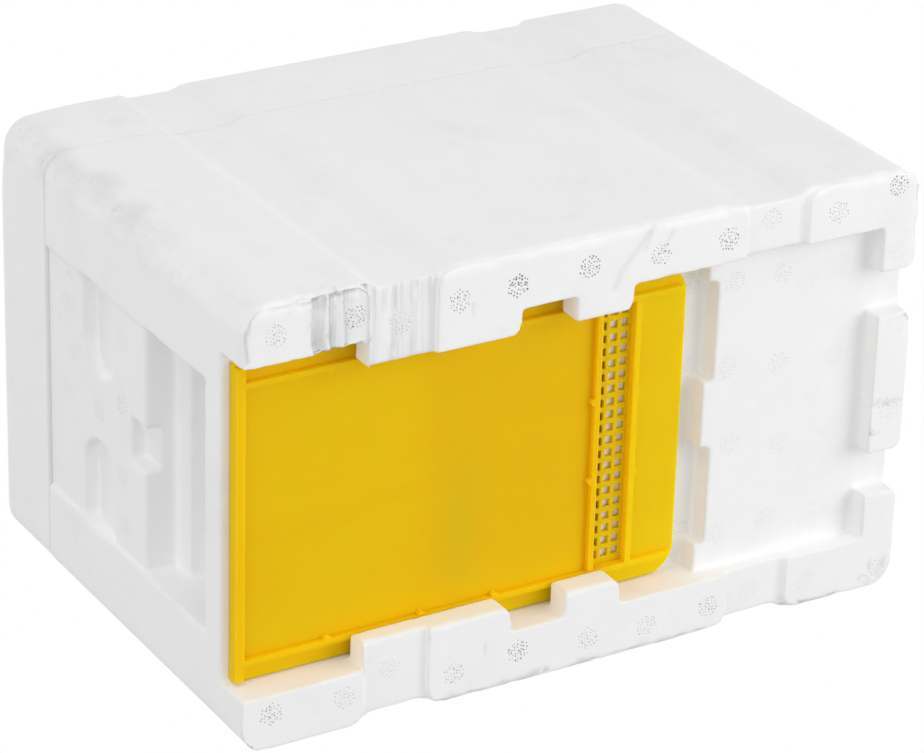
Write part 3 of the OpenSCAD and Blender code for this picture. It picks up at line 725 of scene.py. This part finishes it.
def slide_mesh():
    """The floor slide with its gate mark cut back, and thinner between the ribs beside its vent grid."""
    mesh = merged_copy("floor_slide")
    points, _ = mesh_points(mesh)
    plate_z = slide_high[2] - SLIDE_T
    off_middle = points[:, :2] - ((slide_low + slide_high) / 2)[:2]
    in_gate = np.hypot(*off_middle.T) < GATE_R
    points[in_gate, 2] = np.clip(points[in_gate, 2], plate_z - GATE_LEFT, None)
    in_grid = np.abs(points[:, 1] - (slide_high[1] - GRID_FROM_REAR)) < GRID_HALF
    in_grid &= np.abs(off_middle[:, 0]) < GRID_REACH
    points[in_grid & (np.abs(points[:, 2] - plate_z) < ON_PLATE), 2] += GRID_THIN
    mesh.vertices.foreach_set("co", points.astype(np.float32).ravel())
    return mesh


def node_group(name, inputs, outputs):
    """An empty shader node group with named sockets."""
    group = bpy.data.node_groups.new(name, "ShaderNodeTree")
    for socket, kind, value in inputs:
        made = group.interface.new_socket(socket, in_out="INPUT", socket_type=kind)
        if value is not None:
            made.default_value = value
    for socket, kind in outputs:
        group.interface.new_socket(socket, in_out="OUTPUT", socket_type=kind)
    return group, group.nodes.new("NodeGroupInput"), group.nodes.new("NodeGroupOutput")


def add_node(tree, kind, values=(), links=(), **settings):
    """A node with its settings, its socket values and its incoming links."""
    node = tree.nodes.new(kind)
    for key, value in settings.items():
        setattr(node, key, value)
    for socket, value in dict(values).items():
        node.inputs[socket].default_value = value
    for socket, source in dict(links).items():
        tree.links.new(source, node.inputs[socket])
    return node


def bead_skin_group():
    """Moulded bead foam: pressed bead cells with fine seams, and cloudy tone."""
    group, given, out = node_group(
        "bead_skin",
        [("Vector", "NodeSocketVector", None), ("Bead Scale", "NodeSocketFloat", 330.0)],
        [("Tone", "NodeSocketFloat"), ("Height", "NodeSocketFloat")],
    )
    at, scale = given.outputs["Vector"], given.outputs["Bead Scale"]
    cells = add_node(group, "ShaderNodeTexVoronoi", links={"Vector": at, "Scale": scale})
    seams = add_node(
        group, "ShaderNodeTexVoronoi", links={"Vector": at, "Scale": scale}, feature="DISTANCE_TO_EDGE"
    )
    seam = add_node(
        group, "ShaderNodeMapRange", {"From Max": 0.09}, {"Value": seams.outputs["Distance"]}
    )
    cell_tone = add_node(
        group, "ShaderNodeMapRange", {"To Min": -0.5, "To Max": 0.5}, {"Value": cells.outputs["Color"]}
    )
    drift = add_node(
        group, "ShaderNodeTexNoise", {"Scale": 45.0, "Detail": 4.0, "Roughness": 0.6}, {"Vector": at}
    )
    drift_tone = add_node(
        group, "ShaderNodeMapRange", {"From Min": 0.3, "From Max": 0.7, "To Min": -1.0, "To Max": 1.0},
        {"Value": drift.outputs["Fac"]},
    )
    both = add_node(
        group, "ShaderNodeMath", links={0: cell_tone.outputs[0], 1: drift_tone.outputs[0]}, operation="ADD"
    )
    seam_dark = add_node(
        group, "ShaderNodeMapRange", {"To Min": -0.25, "To Max": 0.0}, {"Value": seam.outputs[0]}
    )
    tone = add_node(
        group, "ShaderNodeMath", links={0: both.outputs[0], 1: seam_dark.outputs[0]}, operation="ADD"
    )
    fine = add_node(
        group, "ShaderNodeTexNoise", {"Scale": 1400.0, "Detail": 2.0}, {"Vector": at}
    )
    grain = add_node(
        group, "ShaderNodeMath", {1: 0.35}, {0: fine.outputs["Fac"]}, operation="MULTIPLY"
    )
    height = add_node(
        group, "ShaderNodeMath", links={0: seam.outputs[0], 1: grain.outputs[0]}, operation="ADD"
    )
    group.links.new(tone.outputs[0], out.inputs["Tone"])
    group.links.new(height.outputs[0], out.inputs["Height"])
    return group


def grime_and_shade_group():
    """Handling dirt and painted shade: grey specks, smudges and score lines, thicker where an edge is worn.
    """
    group, given, out = node_group(
        "handling_grime_and_shade",
        [
            ("Vector", "NodeSocketVector", None), ("Wear", "NodeSocketFloat", 0.0),
            ("Scuff", "NodeSocketFloat", 0.0), ("Soil_And_Shade", "NodeSocketFloat", 0.0),
            ("Specks", "NodeSocketFloat", 0.0), ("Scored", "NodeSocketFloat", 0.0),
        ],
        [("Mask", "NodeSocketFloat")],
    )
    at = given.outputs["Vector"]
    smudge = add_node(
        group, "ShaderNodeTexNoise", {"Scale": 26.0, "Detail": 6.0, "Roughness": 0.7}, {"Vector": at}
    )
    patch = add_node(
        group, "ShaderNodeMapRange", {"From Min": 0.56, "From Max": 0.8}, {"Value": smudge.outputs["Fac"]}
    )
    speck = add_node(
        group, "ShaderNodeTexNoise", {"Scale": 420.0, "Detail": 3.0, "Roughness": 0.6}, {"Vector": at}
    )
    dots = add_node(
        group, "ShaderNodeMapRange", {"From Min": 0.6, "From Max": 0.72}, {"Value": speck.outputs["Fac"]}
    )
    # On worn edges: grey dots where smudges lie, and a painted shade of 0.2 that damps the lamps' highlight
    # there
    dots_and_edge_shade = add_node(
        group, "ShaderNodeMath", {2: 0.2}, {0: dots.outputs[0], 1: patch.outputs[0]},
        operation="MULTIPLY_ADD",
    )
    edge_grime_and_shade = add_node(
        group, "ShaderNodeMath", links={0: dots_and_edge_shade.outputs[0], 1: given.outputs["Wear"]}, operation="MULTIPLY"
    )
    faint = add_node(
        group, "ShaderNodeMath", {1: 0.12}, {0: patch.outputs[0]}, operation="MULTIPLY"
    )
    streaky = add_node(
        group, "ShaderNodeTexNoise", {"Scale": 42.0, "Detail": 5.0, "Roughness": 0.62}, {"Vector": at}
    )
    streaks = add_node(
        group, "ShaderNodeMapRange", {"From Min": 0.36, "From Max": 0.68, "To Min": 0.08, "To Max": 0.34},
        {"Value": streaky.outputs["Fac"]},
    )
    rubbed = add_node(
        group, "ShaderNodeMath", links={0: streaks.outputs[0], 1: given.outputs["Scuff"]},
        operation="MULTIPLY",
    )
    across = add_node(group, "ShaderNodeMapping", {"Scale": (0.06, 1.0, 0.06)}, {"Vector": at})
    lines = add_node(
        group, "ShaderNodeTexNoise", {"Scale": 750.0, "Detail": 2.0}, {"Vector": across.outputs[0]}
    )
    scratches = add_node(
        group, "ShaderNodeMapRange", {"From Min": 0.52, "From Max": 0.68, "To Max": 0.3},
        {"Value": lines.outputs["Fac"]},
    )
    scored = add_node(
        group, "ShaderNodeMath", links={0: scratches.outputs[0], 1: given.outputs["Scored"]},
        operation="MULTIPLY",
    )
    specked = add_node(
        group, "ShaderNodeMath",
        links={0: dots.outputs[0], 1: given.outputs["Specks"], 2: scored.outputs[0]},
        operation="MULTIPLY_ADD",
    )
    worn_grime_and_shade = add_node(
        group, "ShaderNodeMath", links={0: edge_grime_and_shade.outputs[0], 1: faint.outputs[0]}, operation="ADD"
    )
    spotted = add_node(
        group, "ShaderNodeMath", links={0: worn_grime_and_shade.outputs[0], 1: specked.outputs[0]}, operation="ADD"
    )
    painted = add_node(
        group, "ShaderNodeMath", links={0: rubbed.outputs[0], 1: given.outputs["Soil_And_Shade"]}, operation="ADD"
    )
    mask = add_node(
        group, "ShaderNodeMath", links={0: spotted.outputs[0], 1: painted.outputs[0]}, operation="ADD",
        use_clamp=True,
    )
    group.links.new(mask.outputs[0], out.inputs["Mask"])
    return group


def plastic_grain_group():
    """Moulded plastic: fine surface grain, slow flow marks and rubbed patches."""
    group, given, out = node_group(
        "plastic_grain",
        [("Vector", "NodeSocketVector", None)],
        [("Flow", "NodeSocketFloat"), ("Rub", "NodeSocketFloat"), ("Height", "NodeSocketFloat")],
    )
    at = given.outputs["Vector"]
    stretched = add_node(group, "ShaderNodeMapping", {"Scale": (1.0, 0.35, 1.0)}, {"Vector": at})
    flow = add_node(
        group, "ShaderNodeTexNoise", {"Scale": 38.0, "Detail": 3.0, "Distortion": 0.6},
        {"Vector": stretched.outputs[0]},
    )
    rub = add_node(
        group, "ShaderNodeTexNoise", {"Scale": 90.0, "Detail": 5.0, "Roughness": 0.7}, {"Vector": at}
    )
    grain = add_node(group, "ShaderNodeTexNoise", {"Scale": 2600.0, "Detail": 1.0}, {"Vector": at})
    group.links.new(flow.outputs["Fac"], out.inputs["Flow"])
    group.links.new(rub.outputs["Fac"], out.inputs["Rub"])
    group.links.new(grain.outputs["Fac"], out.inputs["Height"])
    return group


def new_material(name, **sockets):
    """A material with one Principled BSDF whose constant sockets are set."""
    material = bpy.data.materials.new(name)
    material.use_nodes = True
    tree = material.node_tree
    surface = tree.nodes["Principled BSDF"]
    for socket, value in sockets.items():
        surface.inputs[socket.replace("_", " ")].default_value = value
    where = tree.nodes.new("ShaderNodeTexCoord")
    return material, tree, surface, where.outputs["Object"]


def mixed(tree, factor, first, second):
    """A colour between two others by a factor."""
    mix = tree.nodes.new("ShaderNodeMix")
    mix.data_type = "RGBA"
    tree.links.new(factor, mix.inputs["Factor"])
    for socket, colour in ((mix.inputs["A"], first), (mix.inputs["B"], second)):
        if isinstance(colour, bpy.types.NodeSocket):
            tree.links.new(colour, socket)
        else:
            socket.default_value = (*colour, 1)
    return mix.outputs["Result"]


def foam_material(name, bead, grime_and_shade):
    """White bead foam: tone from the bead skin, dirt from handling and painted shade, a dry uneven surface.
    """
    material, tree, surface, at = new_material(name, Roughness=0.78, Specular_IOR_Level=0.3)
    skin = add_node(tree, "ShaderNodeGroup", node_tree=bead)
    tree.links.new(at, skin.inputs["Vector"])
    soil_and_shade = add_node(tree, "ShaderNodeGroup", node_tree=grime_and_shade)
    tree.links.new(at, soil_and_shade.inputs["Vector"])
    for field in ("wear", "scuff", "soil_and_shade", "specks", "scored"):
        painted = add_node(tree, "ShaderNodeAttribute", attribute_name=field)
        tree.links.new(painted.outputs["Fac"], soil_and_shade.inputs[field.title()])
    tone = add_node(
        tree, "ShaderNodeMapRange", {"From Min": -1.5, "From Max": 1.5}, {"Value": skin.outputs["Tone"]}
    )
    clean = mixed(tree, tone.outputs[0], *FOAM_WHITES)
    tree.links.new(mixed(tree, soil_and_shade.outputs["Mask"], clean, FOAM_DIRT_AND_SHADE), surface.inputs["Base Color"])
    bump = add_node(
        tree, "ShaderNodeBump", {"Strength": 0.2, "Distance": 0.05 * MM}, {"Height": skin.outputs["Height"]}
    )
    tree.links.new(bump.outputs[0], surface.inputs["Normal"])
    return material


def dot_material():
    """Vent dots: foam-white rims round pits with painted shade."""
    material, tree, surface, _ = new_material("vent_dot", Roughness=0.8, Specular_IOR_Level=0.25)
    pit_shade = add_node(tree, "ShaderNodeAttribute", attribute_name="pit_shade")
    tree.links.new(mixed(tree, pit_shade.outputs["Fac"], RIM_WHITE, PIT_SHADE), surface.inputs["Base Color"])
    return material


def yellow_material(name, grain, deep, pale, glow=None):
    """Satin yellow plastic with flow marks and rubbed patches."""
    material, tree, surface, at = new_material(name, Specular_IOR_Level=0.07, **(glow or {}))
    marks = add_node(tree, "ShaderNodeGroup", node_tree=grain)
    tree.links.new(at, marks.inputs["Vector"])
    flow = add_node(
        tree, "ShaderNodeMapRange", {"From Min": 0.3, "From Max": 0.7}, {"Value": marks.outputs["Flow"]}
    )
    colour = mixed(tree, flow.outputs[0], deep, pale)
    tree.links.new(colour, surface.inputs["Base Color"])
    rough = add_node(
        tree, "ShaderNodeMapRange", {"From Min": 0.3, "From Max": 0.7, "To Min": 0.36, "To Max": 0.5},
        {"Value": marks.outputs["Rub"]},
    )
    tree.links.new(rough.outputs[0], surface.inputs["Roughness"])
    bump = add_node(
        tree, "ShaderNodeBump", {"Strength": 0.12, "Distance": 0.02 * MM},
        {"Height": marks.outputs["Height"]},
    )
    tree.links.new(bump.outputs[0], surface.inputs["Normal"])
    return material


def recoloured(material, change):
    """Puts a change of colour between a material's base colour and its surface."""
    tree = material.node_tree
    base = tree.nodes["Principled BSDF"].inputs["Base Color"]
    at = next(node for node in tree.nodes if node.type == "TEX_COORD").outputs["Object"]
    tree.links.new(change(tree, at, base.links[0].from_socket), base)


def backing_shaded(tree, at, colour):
    """The slide's colour with painted shade in the listed boxes, where less light comes through from behind.
    """
    for middle, half, share in BACKING_SHADE_BOXES:
        local = add_node(
            tree, "ShaderNodeMapping",
            {"Location": (middle[0] * MM, middle[1] * MM, 0), "Scale": (half[0] * MM, half[1] * MM, 1)},
            {"Vector": at}, vector_type="TEXTURE",
        )
        size = add_node(tree, "ShaderNodeVectorMath", links={0: local.outputs[0]}, operation="ABSOLUTE")
        axes = add_node(tree, "ShaderNodeSeparateXYZ", links={0: size.outputs[0]})
        farthest = add_node(
            tree, "ShaderNodeMath", links={0: axes.outputs["X"], 1: axes.outputs["Y"]}, operation="MAXIMUM"
        )
        inside = add_node(
            tree, "ShaderNodeMapRange",
            {"From Min": BACKING_SHADE_FADE[0], "From Max": BACKING_SHADE_FADE[1], "To Max": share},
            {"Value": farthest.outputs[0]}, interpolation_type="SMOOTHSTEP",
        )
        colour = mixed(tree, inside.outputs[0], colour, BACKING_SHADE_YELLOW)
    return colour


def streaked(tree, at, colour):
    """The slide's colour with a pale streak where the melt came in."""
    middle = (slide_low + slide_high) / 2
    local = add_node(
        tree, "ShaderNodeMapping",
        {"Location": (middle[0] - STREAK_OFF, middle[1], middle[2]), "Scale": STREAK_HALF},
        {"Vector": at}, vector_type="TEXTURE",
    )
    away = add_node(tree, "ShaderNodeVectorMath", links={0: local.outputs[0]}, operation="LENGTH")
    streak = add_node(
        tree, "ShaderNodeMapRange", {"From Min": 1.0, "From Max": 0.0, "To Max": STREAK_SHARE},
        {"Value": away.outputs["Value"]}, interpolation_type="SMOOTHSTEP",
    )
    return mixed(tree, streak.outputs[0], colour, STREAK_YELLOW)


def sheet_material(grain):
    """Clear flexible sheet with rubbed patches."""
    material, tree, surface, at = new_material(
        "clear_sheet", Transmission_Weight=0.92, IOR=1.45, Base_Color=(0.93, 0.96, 0.96, 1), Alpha=0.35
    )
    marks = add_node(tree, "ShaderNodeGroup", node_tree=grain)
    tree.links.new(at, marks.inputs["Vector"])
    rough = add_node(
        tree, "ShaderNodeMapRange", {"From Min": 0.35, "From Max": 0.7, "To Min": 0.08, "To Max": 0.3},
        {"Value": marks.outputs["Rub"]},
    )
    tree.links.new(rough.outputs[0], surface.inputs["Roughness"])
    return material


def dress(piece, material):
    """Gives a piece its one material."""
    piece.data.materials.clear()
    piece.data.materials.append(material)


def make_foam(bead, grime_and_shade):
    """Body and lid, with the body's vent marks."""
    body_skin = foam_mesh("body", body_marks)
    body = new_piece("body_foam", body_skin, "box", "foam", "body")
    dress(body, foam_material("body_foam", bead, grime_and_shade))
    lid = new_piece("lid_foam", foam_mesh("lid", lid_marks), "lid", "foam_lid", "lid")
    dress(lid, foam_material("lid_foam", bead, grime_and_shade))
    dots = new_piece("vent_marks", vent_marks_mesh(body_skin), "box", "foam")
    dress(dots, dot_material())


def make_plastic(grain):
    """Floor slide, frames, excluder, feeder and cover."""
    slide = new_piece(
        "floor_slide_plastic", plastic_mesh(slide_mesh(), SLIDE_EDGE), "floor_slide", "slide_plastic",
        "floor_slide",
    )
    slide_yellow = yellow_material("slide_yellow", grain, *SLIDE_YELLOWS, GLOW)
    # Painted shade where less light comes through the slide from behind
    recoloured(slide_yellow, backing_shaded)
    recoloured(slide_yellow, streaked)
    dress(slide, slide_yellow)
    inner = yellow_material("inner_yellow", grain, *INNER_YELLOWS)
    for node in ("feeder", "queen_excluder", "frame_1", "frame_2", "frame_3", "frame_4"):
        skin = plastic_mesh(merged_copy(node), INNER_EDGE)
        piece = new_piece(f"{node}_plastic", skin, "box", "inner_plastic", node)
        dress(piece, inner)
    cover = new_piece(
        "inner_cover_sheet", plastic_mesh(merged_copy("inner_cover"), INNER_EDGE), "box", "clear_sheet",
        "inner_cover",
    )
    dress(cover, sheet_material(grain))


def make_camera():
    """The photograph's viewpoint, below the entrance end's right corner, with +X up in the picture."""
    camera = bpy.data.objects.new("camera", bpy.data.cameras.new("camera"))
    bpy.context.scene.collection.objects.link(camera)
    camera.data.sensor_width = SENSOR_W
    camera.data.lens = FOCAL_PX / PHOTO_W * SENSOR_W
    back = -CAMERA_AIM.normalized()
    right = CAMERA_UP.cross(back).normalized()
    turn = Matrix((right, back.cross(right), back)).transposed()
    camera.matrix_world = Matrix.Translation(CAMERA_AT) @ turn.to_4x4()
    bpy.context.scene.camera = camera


def make_floor():
    """Pale floor that keeps the object's shadow, is seen only from above and fades to white far out."""
    mesh = bpy.data.meshes.new("floor")
    turns = [(-1, -1), (1, -1), (1, 1), (-1, 1)]
    corners = [(x * FLOOR_HALF, y * FLOOR_HALF, -FLOOR_DROP) for x, y in turns]
    mesh.from_pydata(corners, [], [(0, 1, 2, 3)])
    floor = bpy.data.objects.new("floor", mesh)
    bpy.context.scene.collection.objects.link(floor)
    material, tree, surface, at = new_material("floor", Roughness=0.9, Specular_IOR_Level=0.1)
    surface.inputs["Base Color"].default_value = (FLOOR_TONE, FLOOR_TONE, FLOOR_TONE, 1)
    away = add_node(tree, "ShaderNodeVectorMath", links={0: at}, operation="LENGTH")
    far = add_node(
        tree, "ShaderNodeMapRange", {"From Min": FLOOR_FADE[0], "From Max": FLOOR_FADE[1]},
        {"Value": away.outputs["Value"]}, interpolation_type="SMOOTHSTEP",
    )
    white = add_node(tree, "ShaderNodeEmission")
    seen = add_node(
        tree, "ShaderNodeMixShader", links={0: far.outputs[0], 1: surface.outputs[0], 2: white.outputs[0]}
    )
    light_path = add_node(tree, "ShaderNodeLightPath")
    geometry = add_node(tree, "ShaderNodeNewGeometry")
    from_above = add_node(
        tree, "ShaderNodeMath", {0: 1.0}, {1: geometry.outputs["Backfacing"]}, operation="SUBTRACT"
    )
    shown = add_node(
        tree, "ShaderNodeMath", links={0: from_above.outputs[0], 1: light_path.outputs["Is Camera Ray"]},
        operation="MULTIPLY",
    )
    clear = add_node(tree, "ShaderNodeBsdfTransparent")
    final = add_node(
        tree, "ShaderNodeMixShader", links={0: shown.outputs[0], 1: clear.outputs[0], 2: seen.outputs[0]}
    )
    tree.links.new(final.outputs[0], tree.nodes["Material Output"].inputs["Surface"])
    dress(floor, material)


def make_world():
    """White surroundings for the camera and for reflections, and even soft light for the rest."""
    world = bpy.data.worlds.new("studio")
    bpy.context.scene.world = world
    world.use_nodes = True
    tree = world.node_tree
    light_path = add_node(tree, "ShaderNodeLightPath")
    direct = add_node(
        tree, "ShaderNodeMath",
        links={0: light_path.outputs["Is Camera Ray"], 1: light_path.outputs["Is Glossy Ray"]},
        operation="MAXIMUM",
    )
    shown = add_node(
        tree, "ShaderNodeMath",
        links={0: direct.outputs[0], 1: light_path.outputs["Is Transmission Ray"]}, operation="MAXIMUM",
    )
    strength = add_node(
        tree, "ShaderNodeMapRange", {"To Min": WORLD_LIGHT, "To Max": 1.0}, {"Value": shown.outputs[0]}
    )
    background = tree.nodes["Background"]
    background.inputs["Color"].default_value = (1, 1, 1, 1)
    tree.links.new(strength.outputs[0], background.inputs["Strength"])


def make_lamp(name, at, size, watts):
    """A square soft box that looks at the object's middle."""
    lamp = bpy.data.objects.new(name, bpy.data.lights.new(name, "AREA"))
    bpy.context.scene.collection.objects.link(lamp)
    lamp.data.size = size
    lamp.data.energy = watts
    middle = (cad_box[0] + cad_box[1]) / 2
    lamp.location = at
    lamp.rotation_mode = "QUATERNION"
    lamp.rotation_quaternion = (middle - Vector(at)).to_track_quat("-Z", "Y")
    lamp.visible_camera = False


def make_stage():
    """Camera, floor, surroundings and soft boxes."""
    make_camera()
    make_floor()
    make_world()
    bpy.context.scene.view_settings.view_transform = "Standard"
    for lamp in LAMPS:
        make_lamp(*lamp)


make_stage()
bead_skin, handling_grime_and_shade, plastic_grain = bead_skin_group(), grime_and_shade_group(), plastic_grain_group()
make_foam(bead_skin, handling_grime_and_shade)
make_plastic(plastic_grain)
